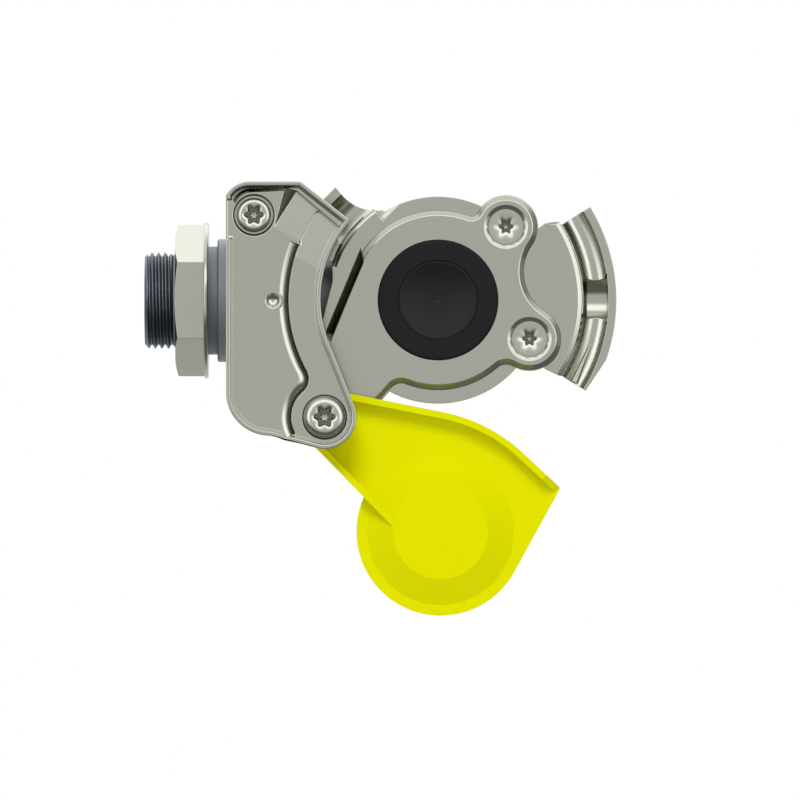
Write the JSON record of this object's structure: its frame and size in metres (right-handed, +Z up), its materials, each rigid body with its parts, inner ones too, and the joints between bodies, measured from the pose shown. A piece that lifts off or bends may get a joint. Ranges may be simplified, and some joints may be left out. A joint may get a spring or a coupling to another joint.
{
  "type": "gladhand air brake coupler",
  "caption": "Gladhand air brake hose coupler with a bolted claw, round face seal, arc flange with detent recess, threaded port stub and a swinging dust cover.",
  "frame": {"origin": "centre of the seal ring's mating face", "axes": "the mating face looks towards -Y, +Z is up, the threaded port stub points towards -X"},
  "size_m": [0.1075, 0.0535, 0.0984],
  "materials": {
    "cast_metal": "painted casting, satin",
    "plain_aluminium": "machined",
    "screws": "zinc plated",
    "bare_steel": "bright plated",
    "spring_steel": "spring steel",
    "bushing": "turned",
    "black_rubber": "matt",
    "black_plastic": "matt",
    "yellow_plastic": "moulded, matt"
  },
  "bodies": {
    "coupler": {"housing": "cast_metal", "claw_plate": "cast_metal", "seal_retainer": "cast_metal", "claw_screw": "screws", "pivot_screw": "screws", "retainer_screw_upper": "screws", "retainer_screw_lower": "screws", "claw_spacer": "bare_steel", "pivot_bush": "bushing", "cover_disc_spring": "spring_steel", "seal_ring": "black_rubber", "rear_cap": "plain_aluminium", "rear_cap_o_ring": "black_rubber", "retaining_ring": "spring_steel", "port_connector": "plain_aluminium", "connector_o_ring": "black_rubber", "lock_nut": "bare_steel", "lock_washer": "bare_steel", "valve_spring": "spring_steel", "detent_spring": "spring_steel", "detent_plug": "bare_steel"},
    "cover": {"dust_cover": "yellow_plastic"},
    "valve": {"valve_plunger": "black_plastic", "plunger_o_ring": "black_rubber"},
    "detent": {"detent_pin": "bare_steel"}
  },
  "joints": [
    {"name": "cover_swing", "type": "hinge", "parent": "coupler", "child": "cover", "pos_m": [-0.0257, -0.005, -0.0266], "axis": [0, -1, 0], "range_deg": [0, 90.5]},
    {"name": "valve_slide", "type": "slide", "parent": "coupler", "child": "valve", "axis": [0, 1, 0], "range_m": [0, 0.004], "stiffness_N_per_m": 1500, "springref_m": -0.003, "deforming": ["valve_spring"]},
    {"name": "detent_slide", "type": "slide", "parent": "coupler", "child": "detent", "axis": [0, 1, 0], "range_m": [0, 0.0012], "stiffness_N_per_m": 2000, "springref_m": -0.001, "deforming": ["detent_spring"]}
  ]
}
